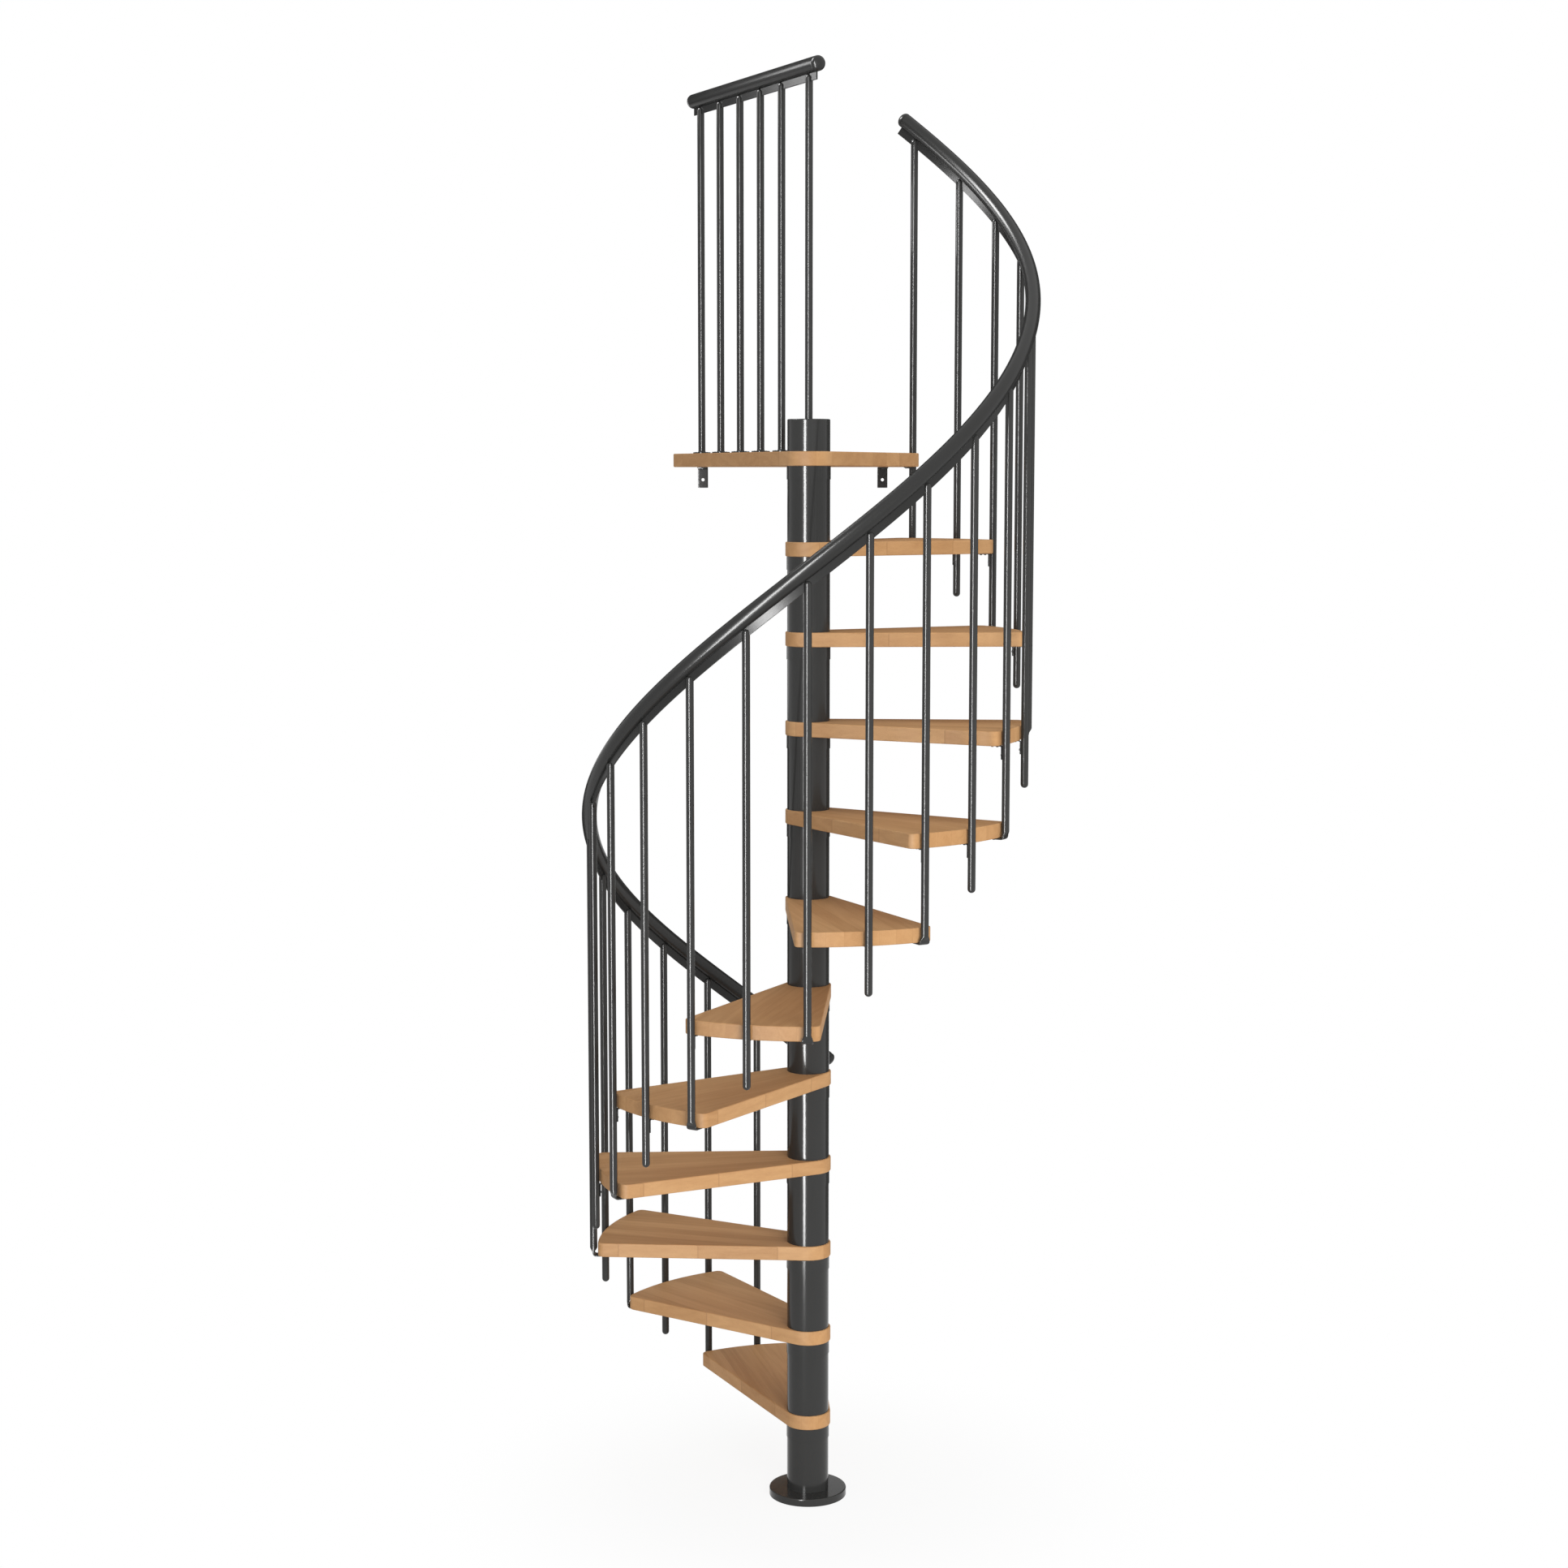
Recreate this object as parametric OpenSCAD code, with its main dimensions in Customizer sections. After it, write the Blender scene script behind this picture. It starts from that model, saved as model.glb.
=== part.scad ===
// Spiral staircase: wooden wedge treads clamped between steel sleeves on a centre pole,
// tubular balusters outside the treads, a helical handrail on a flat band and a guarded landing.
// Millimetres. The origin is the centre of the floor flange's underside, +Z is up, the landing's
// straight back edge runs along X on the +Y side, and the flight climbs anticlockwise seen from above.

/* [Flight] */
// Height from one tread to the next, and from the last tread to the landing
rise = 236.5; // [200:0.5:250]
// Treads below the landing
tread_count = 11; // [8:1:13]
// Turn from one tread to the next, in degrees
step_angle = 30; // [24:0.5:32]
// Direction of the landing's own step, in degrees from +X
arrival_angle = 74.3; // [68:0.1:80]

/* [Treads] */
// Radius of the treads' outer arc
tread_r = 570; // [500:1:640]
// Thickness of the treads and the landing
tread_t = 38; // [30:0.5:50]
// How far each tread's outer corners reach past the half step, along the arc
tread_overlap = 32; // [22:1:45]
// Radius of the tread's round eye about the post
eye_r = 61.5; // [59:0.5:75]
// Rounding of the outer corners
corner_r = 18; // [8:1:20]

/* [Landing] */
// Distance from the post's axis to the straight back edge
landing_back = 665; // [640:1:720]

/* [Post] */
// Diameter of the sleeves
sleeve_d = 113; // [100:1:117]
// Diameter of the centre pole
pole_d = 48; // [36:1:60]
// How far the collar under each tread stands proud of its sleeve
collar_proud = 1.5; // [0.5:0.1:3]
// Height of the collar
collar_h = 35; // [20:1:50]
// Height of the post head above the landing
head_h = 84; // [60:1:140]
// Wall of the post head's lid
lid_t = 5; // [3:0.5:10]
// Diameter of the floor flange
flange_d = 210; // [180:1:260]
// Thickness of the floor flange
flange_t = 20; // [12:1:30]
// Rounding of the flange's and the post head's top edges
edge_r = 3; // [1:0.5:4]

/* [Balusters] */
// Outer diameter of the tubes
tube_d = 20; // [16:0.5:24]
// Gap between the tread's arc and the tube
tube_gap = 2.7; // [1.5:0.1:6]
// How far a middle tube hangs below its tread
tip_drop = 124; // [80:1:150]
// Thickness of the flattened foot
foot_t = 5; // [3:0.5:7]
// Width of the flattened foot
foot_w = 28; // [25:1:36]
// Length of the foot under the tread
foot_len = 42; // [30:1:60]
// Inside radius of the foot's bend
foot_bend = 5; // [3:0.5:6]
// Height over which the tube narrows to its foot
foot_taper = 14; // [12:1:24]

/* [Brackets] */
// Sheet thickness of the tread brackets
clip_t = 2.5; // [1.5:0.5:4]
// Width of the tread brackets
clip_w = 10; // [8:1:24]
// Length of both legs of a tread bracket
clip_leg = 36; // [24:1:50]
// Width of the landing's wall brackets
anchor_w = 29; // [24:1:50]
// Thickness of the wall brackets
anchor_t = 4; // [3:0.5:8]
// Length of the wall brackets' hanging leg
anchor_leg = 59; // [50:1:90]
// Depth of the hole's centre below the landing
anchor_hole_drop = 36; // [25:1:44]
// Diameter of the wall brackets' hole
anchor_hole_d = 9; // [5:0.5:13]
// Distance between the two wall brackets' holes
anchor_spacing = 516; // [440:1:540]
// Shift of the pair of wall brackets along X from the post's axis
anchor_shift = -40; // [-60:1:0]

/* [Handrail] */
// Diameter of the handrail
rail_d = 40; // [34:0.5:46]
// Height of the handrail's centre over the line of the treads
rail_h = 1012; // [900:1:1100]
// Turn that the handrail runs on past its first baluster, in degrees
rail_lead_in = 5.3; // [3:0.1:8]
// Turn that the handrail runs on past its last baluster, in degrees
rail_lead_out = 2.7; // [2.2:0.1:6]
// Height of the flat band under the handrail
band_h = 20; // [14:0.5:28]
// Thickness of the band
band_t = 4; // [3:0.5:5]

/* [Landing railing] */
// Direction of the railing and of the landing's open side, in degrees from +X
guard_angle = 116; // [113:0.5:117]
// Height of the railing's handrail centre above the landing
guard_h = 989; // [900:1:1100]
// Distance from the post's axis to the first baluster on the landing
guard_first = 163; // [140:1:170]
// Spacing of the landing's balusters
guard_pitch = 130; // [110:1:130]
// Balusters that stand on the landing
guard_count = 5; // [3:1:5]
// How far the railing's handrail runs on past its last baluster
guard_lead_out = 42; // [30:1:60]
// How far the railing's handrail runs on past the post's axis
guard_lead_in = 45; // [30:1:80]
// Diameter of the balusters' round foot plates
plate_d = 50; // [36:1:54]
// Thickness of the foot plates
plate_t = 4; // [3:0.5:8]

/* [Hidden] */
// Clearances: running round the pole, and beside the band in its slots
pole_play = 0.3;
slot_play = 0.3;
seat_play = 0.2;
// How far a line or arc that runs on from a rounding starts inside it, so that the two cross
seam = 0.02;
// Smoothness of round shapes, of the handrail's section and of the tapered feet
$fn = 96;
rail_sides = 24;
taper_sides = 24;
rail_step = 5;
cap_rings = 4;
slice = 0.01;
ANTHRACITE = [0.25, 0.25, 0.245];
BEECH = [0.78, 0.60, 0.42];

// Angles, heights and radii that follow from the sizes above
landing_z = (tread_count + 1) * rise;
baluster_r = tread_r + tube_gap + tube_d / 2;
half_angle = step_angle / 2 + tread_overlap / tread_r * 180 / PI;
eye_bore_r = pole_d / 2 + pole_play;
helix_slope = atan(rise / (step_angle * PI / 180 * baluster_r));
first_post_angle = tread_angle(1) - step_angle / 2;
last_post_angle = tread_angle(tread_count) + step_angle / 2;
rail_start = first_post_angle - rail_lead_in;
rail_end = last_post_angle + rail_lead_out;
landing_side = baluster_r * cos(last_post_angle) - tube_d / 2 - tube_gap;
guard_end = guard_first + (guard_count - 1) * guard_pitch + guard_lead_out;
guard_z = landing_z + guard_h;
band_slot_w = band_t + 2 * slot_play;
// A flat facet of the handrail's section lies on the band
rail_flat = rail_d / 2 * cos(180 / rail_sides);

function tread_angle(k) = arrival_angle - (tread_count + 1 - k) * step_angle;
function line_z(angle) = rise * (1 + (angle - tread_angle(1)) / step_angle);
function polar(r, angle) = [r * cos(angle), r * sin(angle)];
function two_digits(k) = str(k < 10 ? "0" : "", k);

// Centre of a corner circle that touches the outer arc and the side drawn tight from the eye;
// turn is +1 for the trailing corner and -1 for the leading one
function corner_angle() =
    half_angle + acos(eye_r / tread_r) - acos((eye_r - corner_r) / (tread_r - corner_r));
function corner_centre(angle, turn) = polar(tread_r - corner_r, angle + turn * corner_angle());

// Outward normal of the belt that runs from circle a to circle b, each [centre, radius]
function belt_normal(a, b) =
    let (run = b[0] - a[0])
    atan2(run[1], run[0]) - acos((a[1] - b[1]) / norm(run));

// Region inside a belt drawn tight round circles listed anticlockwise
module belt_outline(circles) {
    count = len(circles);
    polygon([
        for (i = [0 : count - 1])
            let (a = circles[i], b = circles[(i + 1) % count], n = belt_normal(a, b))
            each [a[0] + polar(a[1] - seam, n), b[0] + polar(b[1] - seam, n)]
    ]);
    for (c = circles)
        translate(c[0])
            circle(r = c[1]);
}

// A tread that points along +X
module tread_outline() {
    lead = corner_centre(0, -1);
    trail = corner_centre(0, 1);
    belt_outline([[[0, 0], eye_r], [lead, corner_r], [trail, corner_r]]);
    intersection() {
        circle(r = tread_r - seam);
        polygon([[0, 0], 2 * lead, 2 * trail]);
    }
}

// Rounded corner where the landing's open side, parallel to its railing, meets the back edge
function landing_open_corner() =
    let (y = landing_back - corner_r,
         normal = guard_angle + 90)
    [(eye_r - corner_r - y * sin(normal)) / cos(normal), y];

// The front corner is a tread's; past the last baluster the side runs straight to the back edge
module landing_outline() {
    intersection() {
        belt_outline([
            [[0, 0], eye_r],
            [corner_centre(arrival_angle, -1), corner_r],
            [[landing_side - corner_r, landing_back - corner_r], corner_r],
            [landing_open_corner(), corner_r]
        ]);
        union() {
            circle(r = tread_r - seam);
            translate([landing_side - seam - 2 * landing_back, 0])
                square(2 * landing_back);
        }
    }
}

module board(top) {
    color(BEECH)
        translate([0, 0, top - tread_t])
            linear_extrude(tread_t)
                difference() {
                    children();
                    circle(r = eye_bore_r);
                }
}

module tread(k) {
    rotate(tread_angle(k))
        board(k * rise)
            tread_outline();
}

module landing() {
    board(landing_z)
        landing_outline();
}

// Disc of a given radius and height with a rounded upper edge
module rounded_disc(r, h) {
    rotate_extrude() {
        square([r, h - edge_r]);
        square([r - edge_r, h]);
        intersection() {
            translate([r - edge_r, h - edge_r])
                circle(r = edge_r);
            translate([r - edge_r, h - edge_r])
                square(edge_r);
        }
    }
}

module floor_flange() {
    color(ANTHRACITE)
        rounded_disc(flange_d / 2, flange_t);
}

module centre_pole() {
    color(ANTHRACITE)
        translate([0, 0, flange_t])
            cylinder(d = pole_d, h = landing_z + head_h - lid_t - flange_t);
}

// Sleeve k carries tread k, or the landing, on its collar
module sleeve(k) {
    bottom = k == 1 ? flange_t : (k - 1) * rise;
    height = k * rise - tread_t - bottom;
    color(ANTHRACITE)
        translate([0, 0, bottom])
            difference() {
                union() {
                    cylinder(d = sleeve_d, h = height);
                    translate([0, 0, height - collar_h])
                        cylinder(d = sleeve_d + 2 * collar_proud, h = collar_h);
                }
                translate([0, 0, -1])
                    cylinder(r = eye_bore_r, h = height + 2);
            }
}

module post_head() {
    color(ANTHRACITE)
        translate([0, 0, landing_z])
            difference() {
                rounded_disc(sleeve_d / 2, head_h);
                translate([0, 0, -1])
                    cylinder(r = eye_bore_r, h = head_h - lid_t + 1);
            }
}

// Local frame of a baluster: x outwards, y along the climb, z up, origin on the floor
module at_baluster(angle) {
    rotate(angle)
        translate([baluster_r, 0, 0])
            children();
}

// Slot that straddles the band, in a tube whose handrail passes at a height with a slope;
// rail_low is the distance from the handrail's centre to its underside
module band_slot(height, slope, rail_low) {
    reach = 2 * tube_d;
    translate([0, 0, height])
        rotate([slope, 0, 0])
            translate([-band_slot_w / 2, -reach, -rail_low - band_h - slot_play])
                cube([band_slot_w, 2 * reach, 2 * reach]);
}

// Tube from a lower level up to a domed end that meets the handrail's underside
module tube(bottom, height, slope, rail_low) {
    dome_z = height - (rail_low + seat_play + tube_d / 2) / cos(slope);
    difference() {
        union() {
            translate([0, 0, bottom])
                cylinder(d = tube_d, h = dome_z - bottom);
            translate([0, 0, dome_z])
                sphere(d = tube_d);
        }
        band_slot(height, slope, rail_low);
    }
}

// Lower end pressed flat, turned inwards and lying against the underside of a tread
module flat_foot(underside) {
    bend_z = underside + foot_bend;
    bend_x = -foot_t / 2 - foot_bend;
    hull() {
        translate([0, 0, bend_z + foot_taper])
            cylinder(d = tube_d, h = slice, $fn = taper_sides);
        translate([-foot_t / 2, -foot_w / 2, bend_z])
            cube([foot_t, foot_w, slice]);
    }
    translate([bend_x, foot_w / 2, bend_z])
        rotate([90, 0, 0])
            linear_extrude(foot_w)
                intersection() {
                    difference() {
                        circle(r = foot_bend + foot_t);
                        circle(r = foot_bend);
                    }
                    translate([0, -foot_bend - foot_t])
                        square(foot_bend + foot_t);
                }
    translate([bend_x, 0, underside - foot_t])
        linear_extrude(foot_t) {
            translate([foot_w / 2 - foot_len, -foot_w / 2])
                square([foot_len - foot_w / 2, foot_w]);
            translate([foot_w / 2 - foot_len, 0])
                circle(d = foot_w);
        }
}

module middle_baluster(angle, underside) {
    bottom = underside - tip_drop + tube_d / 2;
    at_baluster(angle) {
        tube(bottom, line_z(angle) + rail_h, helix_slope, rail_flat);
        translate([0, 0, bottom])
            sphere(d = tube_d);
    }
}

module joining_baluster(angle, underside) {
    at_baluster(angle) {
        tube(underside + foot_bend + foot_taper, line_z(angle) + rail_h, helix_slope, rail_flat);
        flat_foot(underside);
    }
}

module foot_plate(level) {
    translate([0, 0, level])
        cylinder(d = plate_d, h = plate_t);
}

// The first tube stands on the floor in front of the first tread
module first_baluster() {
    at_baluster(first_post_angle) {
        tube(plate_t, line_z(first_post_angle) + rail_h, helix_slope, rail_flat);
        foot_plate(0);
    }
}

// The tubes that belong to tread k: one at its middle and one that joins it to the next tread
module balusters(k) {
    underside = k * rise - tread_t;
    color(ANTHRACITE) {
        if (k == 1)
            first_baluster();
        middle_baluster(tread_angle(k), underside);
        joining_baluster(tread_angle(k) + step_angle / 2, underside);
    }
}

// Angle bracket under a tread that holds a tube passing its edge
module tread_bracket(angle, underside) {
    face = -tube_d / 2 - seat_play;
    at_baluster(angle) {
        translate([face - clip_t, -clip_w / 2, underside - clip_leg])
            cube([clip_t, clip_w, clip_leg]);
        translate([face - clip_leg, -clip_w / 2, underside - clip_t])
            cube([clip_leg, clip_w, clip_t]);
    }
}

module tread_brackets() {
    color(ANTHRACITE)
        for (k = [1 : tread_count + 1]) {
            underside = k * rise - tread_t;
            tread_bracket(tread_angle(k) - step_angle / 2, underside);
            if (k <= tread_count)
                tread_bracket(tread_angle(k), underside);
        }
}

// Sweep of a section along the helix. Each station is [angle, scale]; the section is a list of
// [outwards, up] offsets from the helix, given square to the run and stretched to stand upright
module helix_sweep(stations, section) {
    sides = len(section);
    points = [
        for (s = stations)
            each [
                for (p = section)
                    let (r = baluster_r + s[1] * p[0])
                    [r * cos(s[0]), r * sin(s[0]), line_z(s[0]) + rail_h + s[1] * p[1] / cos(helix_slope)]
            ]
    ];
    last = (len(stations) - 1) * sides;
    polyhedron(points, concat(
        [[for (i = [0 : sides - 1]) i]],
        [[for (i = [sides - 1 : -1 : 0]) last + i]],
        [
            for (s = [0 : len(stations) - 2], i = [0 : sides - 1])
                let (a = s * sides, b = (i + 1) % sides)
                each [[a + i, a + sides + i, a + b], [a + b, a + sides + i, a + sides + b]]
        ]
    ));
}

// Even stations between two angles
function run_angles(start, end) =
    let (count = ceil((end - start) / rail_step))
    [for (i = [0 : count]) start + (end - start) * i / count];

// Stations of a domed end: the angle runs on by the dome's depth while the section shrinks
function dome(angle, turn) =
    let (deep = rail_d / 2 * cos(helix_slope) / baluster_r * 180 / PI)
    [
        for (i = [1 : cap_rings])
            let (q = 84 * i / cap_rings)
            [angle + turn * deep * sin(q), cos(q)]
    ];

function reversed(list) = [for (i = [len(list) - 1 : -1 : 0]) list[i]];

module handrail() {
    section = [
        for (i = [0 : rail_sides - 1])
            polar(rail_d / 2, -(i + 0.5) * 360 / rail_sides)
    ];
    run = [for (a = run_angles(rail_start, rail_end)) [a, 1]];
    color(ANTHRACITE)
        helix_sweep(concat(reversed(dome(rail_start, -1)), run, dome(rail_end, 1)), section);
}

module handrail_band() {
    top = -rail_flat;
    section = [
        [-band_t / 2, top],
        [band_t / 2, top],
        [band_t / 2, top - band_h],
        [-band_t / 2, top - band_h]
    ];
    color(ANTHRACITE)
        helix_sweep([for (a = run_angles(rail_start, rail_end)) [a, 1]], section);
}

// Local frame of the landing railing: x along it, z from its handrail's centre line
module at_guard() {
    translate([0, 0, guard_z])
        rotate(guard_angle)
            children();
}

module landing_handrail() {
    color(ANTHRACITE)
        at_guard() {
            translate([-guard_lead_in, 0, 0])
                rotate([0, 90, 0])
                    cylinder(d = rail_d, h = guard_lead_in + guard_end);
            translate([-guard_lead_in, 0, 0])
                sphere(d = rail_d);
            translate([guard_end, 0, 0])
                sphere(d = rail_d);
        }
}

module landing_band() {
    color(ANTHRACITE)
        at_guard()
            translate([-guard_lead_in, -band_t / 2, -rail_d / 2 - band_h])
                cube([guard_lead_in + guard_end, band_t, band_h]);
}

// Place of a tube in the landing railing: y along the band, z from the floor
module at_guard_baluster(along) {
    at_guard()
        translate([along, 0, -guard_z])
            rotate(90)
                children();
}

// The tube on the post head is welded to its lid, the others stand on foot plates
module landing_balusters() {
    color(ANTHRACITE) {
        at_guard_baluster(0)
            tube(landing_z + head_h, guard_z, 0, rail_d / 2);
        for (i = [0 : guard_count - 1])
            at_guard_baluster(guard_first + i * guard_pitch) {
                tube(landing_z + plate_t, guard_z, 0, rail_d / 2);
                foot_plate(landing_z);
            }
    }
}

// Angle bracket that hangs from the landing's back edge and is bolted to the floor above
module wall_bracket(x) {
    underside = landing_z - tread_t;
    translate([x - anchor_w / 2, landing_back, underside])
        difference() {
            union() {
                translate([0, -anchor_t, -anchor_leg])
                    cube([anchor_w, anchor_t, anchor_leg]);
                translate([0, -anchor_leg, -anchor_t])
                    cube([anchor_w, anchor_leg, anchor_t]);
            }
            translate([anchor_w / 2, 1, -anchor_hole_drop])
                rotate([90, 0, 0])
                    cylinder(d = anchor_hole_d, h = anchor_t + 2);
        }
}

module wall_brackets() {
    color(ANTHRACITE)
        for (side = [-1, 1])
            wall_bracket(anchor_shift + side * anchor_spacing / 2);
}

floor_flange();
centre_pole();
for (k = [1 : tread_count + 1])
    sleeve(k);
post_head();
for (k = [1 : tread_count])
    tread(k);
landing();
for (k = [1 : tread_count])
    balusters(k);
tread_brackets();
handrail();
handrail_band();
landing_handrail();
landing_band();
landing_balusters();
wall_brackets();
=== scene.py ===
# %% [markdown]
# # A spiral staircase with beech treads
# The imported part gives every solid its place: eleven wedge treads and a landing, clamped between
# steel sleeves on one pole, with tubes and a helical handrail outside. This lesson dresses that
# frame. It loads the solids first, because each new piece takes its place from them.

# %% Load the frame
import math

import bmesh
import bpy
from mathutils import Matrix, Vector


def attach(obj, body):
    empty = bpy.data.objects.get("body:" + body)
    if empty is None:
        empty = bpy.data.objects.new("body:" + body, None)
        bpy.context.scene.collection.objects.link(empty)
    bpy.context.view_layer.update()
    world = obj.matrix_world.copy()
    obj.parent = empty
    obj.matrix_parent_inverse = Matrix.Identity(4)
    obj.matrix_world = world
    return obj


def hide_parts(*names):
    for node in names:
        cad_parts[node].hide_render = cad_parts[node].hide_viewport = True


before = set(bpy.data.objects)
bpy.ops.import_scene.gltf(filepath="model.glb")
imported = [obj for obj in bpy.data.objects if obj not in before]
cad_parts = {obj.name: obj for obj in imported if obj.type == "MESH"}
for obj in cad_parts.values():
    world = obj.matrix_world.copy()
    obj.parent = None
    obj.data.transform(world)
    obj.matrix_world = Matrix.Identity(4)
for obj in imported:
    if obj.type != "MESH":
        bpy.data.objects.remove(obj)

scene = bpy.context.scene
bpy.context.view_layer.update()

# %% [markdown]
# ## The stair's own numbers
# A stair is a rule more than a shape: every tread is the one below it, turned by a step and lifted
# by a rise. So a few numbers, the same as the part's, place everything. They are in metres.

# %% Sizes
MM = 0.001
RISE = 236.5 * MM
TREADS = 11
STEP = math.radians(30)
ARRIVAL = math.radians(74.3)
TREAD_R, TREAD_T = 570 * MM, 38 * MM
OVERLAP, EYE_R, CORNER_R = 32 * MM, 61.5 * MM, 18 * MM
LANDING_BACK = 665 * MM
TUBE_R, TUBE_GAP = 10 * MM, 2.7 * MM
TUBE_RING = TREAD_R + TUBE_GAP + TUBE_R
RAIL_R, RAIL_H = 20 * MM, 1012 * MM
BAND_H, BAND_T = 20 * MM, 4 * MM
GUARD_H = 989 * MM
GUARD_ANGLE = math.radians(116)
LANDING_Z = (TREADS + 1) * RISE
SLOPE = math.atan(RISE / (STEP * TUBE_RING))


def tread_angle(k):
    return ARRIVAL - (TREADS + 1 - k) * STEP


def line_z(angle):
    return RISE * (1 + (angle - tread_angle(1)) / STEP)


print("landing at %.3f m, handrail slope %.1f degrees" % (LANDING_Z, math.degrees(SLOPE)))

# %% [markdown]
# ## The camera
# The viewpoint was found by matching tread corners, tube tips and the post's edges: it stands seven
# metres away, about as high as the landing, and looks down a little. From so far, a long lens fills
# the frame and keeps the post straight.

# %% Camera
CAMERA_PLACE = (-0.065, -7.0565, 2.7645)
CAMERA_TILT = math.radians(83.486)
LENS_MM, SENSOR_MM = 61.21, 36
camera = bpy.data.objects.new("camera", bpy.data.cameras.new("camera"))
camera.data.sensor_width = SENSOR_MM
camera.data.lens = LENS_MM
camera.location = CAMERA_PLACE
camera.rotation_euler = (CAMERA_TILT, 0, 0)
scene.collection.objects.link(camera)
scene.camera = camera
scene.view_settings.view_transform = "Standard"
print("camera lens", round(camera.data.lens, 2), "mm")

# %% [markdown]
# ## Writing node trees as sums
# A material is a small calculation. Clicking fifty Math nodes together is slow to read, so one class
# wraps a socket and lets Python's own + and * add those nodes, also with the number first, as in
# 1 - mask. Every other node comes from one method: its type, its settings, and what goes into its
# sockets.

# %% A wire, a placed node and a net
class Wire:
    def __init__(self, net, socket):
        self.net, self.socket = net, socket

    def math(self, operation, *others):
        return self.net.node("ShaderNodeMath", {"operation": operation}, dict(enumerate((self, *others))))[0]

    def reflected(self, operation, other):
        return self.net.node("ShaderNodeMath", {"operation": operation}, {0: other, 1: self})[0]

    def __add__(self, other):
        return self.math("ADD", other)

    def __sub__(self, other):
        return self.math("SUBTRACT", other)

    def __rsub__(self, other):
        return self.reflected("SUBTRACT", other)

    def __mul__(self, other):
        return self.math("MULTIPLY", other)

    def __truediv__(self, other):
        return self.math("DIVIDE", other)

    def __rtruediv__(self, other):
        return self.reflected("DIVIDE", other)

    def __abs__(self):
        return self.math("ABSOLUTE")

    __radd__ = __add__
    __rmul__ = __mul__


class Placed:
    def __init__(self, net, node):
        self.net, self.made = net, node

    def __getitem__(self, key):
        return Wire(self.net, self.made.outputs[key])


class Net:
    def __init__(self, tree):
        self.tree = tree

    def node(self, kind, settings=None, sockets=None):
        made = self.tree.nodes.new(kind)
        for key, value in (settings or {}).items():
            setattr(made, key, value)
        for key, value in (sockets or {}).items():
            if isinstance(value, Wire):
                self.tree.links.new(value.socket, made.inputs[key])
            else:
                made.inputs[key].default_value = value
        return Placed(self, made)

    def noise(self, vector, scale, detail=3, roughness=0.5):
        return self.node("ShaderNodeTexNoise", {}, {
            "Vector": vector, "Scale": scale, "Detail": detail, "Roughness": roughness})[0]

    def mix(self, factor, a, b):
        """Colours a to b; the colour sockets of a Mix node are its seventh and eighth."""
        return self.node("ShaderNodeMix", {"data_type": "RGBA"}, {0: factor, 6: a, 7: b})[2]

    def vector(self, x, y, z):
        return self.node("ShaderNodeCombineXYZ", {}, {"X": x, "Y": y, "Z": z})[0]

    def ramp(self, value, low, high):
        return self.node("ShaderNodeMapRange", {"interpolation_type": "SMOOTHSTEP"}, {
            "Value": value, "From Min": low, "From Max": high})[0]


def start_material(name):
    material = bpy.data.materials.new(name)
    material.use_nodes = True
    material.node_tree.nodes.clear()
    return material, Net(material.node_tree)


def close_material(net, sockets):
    shader = net.node("ShaderNodeBsdfPrincipled", {}, sockets)
    net.node("ShaderNodeOutputMaterial", {}, {"Surface": shader["BSDF"]})


print("nodes are written as expressions")

# %% [markdown]
# ## Powder coat
# The steel is blasted, sprayed with a dark grey powder and baked. The film flows into a faint orange
# peel and has a satin gloss, so a lamp shows as a clear, slightly soft streak. A flat grey would look
# like plastic: a fine bump, a cloudy roughness and a little drift in the colour make it paint.

# %% Anthracite coat
CLOUDS, SPECKS, PEEL_SPOTS = 7, 900, 420
PEEL_DEPTH = 0.2 * MM


def powder_coat(name, dark, light, gloss, peel, shine=0.25):
    """A painted finish. Its clouds, specks and spots of peel are counted per metre."""
    material, net = start_material(name)
    place = net.node("ShaderNodeTexCoord")["Object"]
    cloud = net.noise(place, CLOUDS, 3)
    speck = net.noise(place, SPECKS, 2)
    skin = net.noise(place, PEEL_SPOTS, 2, 0.6)
    colour = net.mix(cloud * 0.7 + speck * 0.3, (*dark, 1), (*light, 1))
    bump = net.node("ShaderNodeBump", {}, {"Strength": peel, "Distance": PEEL_DEPTH, "Height": skin})
    close_material(net, {
        "Base Color": colour,
        "Roughness": gloss + (cloud - 0.5) * 0.04 + (speck - 0.5) * 0.02,
        "Specular IOR Level": shine,
        "Normal": bump["Normal"],
    })
    return material


coat = powder_coat("anthracite_coat", (0.031, 0.031, 0.0302), (0.038, 0.038, 0.037),
                   gloss=0.16, peel=0.005)
rail_skin = powder_coat("anthracite_handrail", (0.022, 0.022, 0.0214), (0.028, 0.028, 0.0272),
                        gloss=0.25, peel=0.008)
strip_skin = powder_coat("anthracite_strip", (0.02, 0.02, 0.0195), (0.026, 0.026, 0.0253),
                         gloss=0.25, peel=0.008, shine=0.2)
print("painted finishes:", coat.name, rail_skin.name, strip_skin.name)

# %% [markdown]
# ## Black zinc
# Small blackened screws hold the brackets and feet. They are bare metal under a thin black film, so
# they mirror more than the paint does, and a scratchy roughness keeps them from looking like beads.

# %% Screw finish
RUB_SCALE = 1500
DULL_ZINC, BRIGHT_ZINC = (0.05, 0.05, 0.052, 1), (0.12, 0.12, 0.125, 1)


def black_zinc():
    material, net = start_material("black_zinc")
    place = net.node("ShaderNodeTexCoord")["Object"]
    rub = net.noise(place, RUB_SCALE, 3, 0.7)
    colour = net.mix(rub, DULL_ZINC, BRIGHT_ZINC)
    close_material(net, {"Base Color": colour, "Metallic": 0.9, "Roughness": rub * 0.25 + 0.3})
    return material


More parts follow.
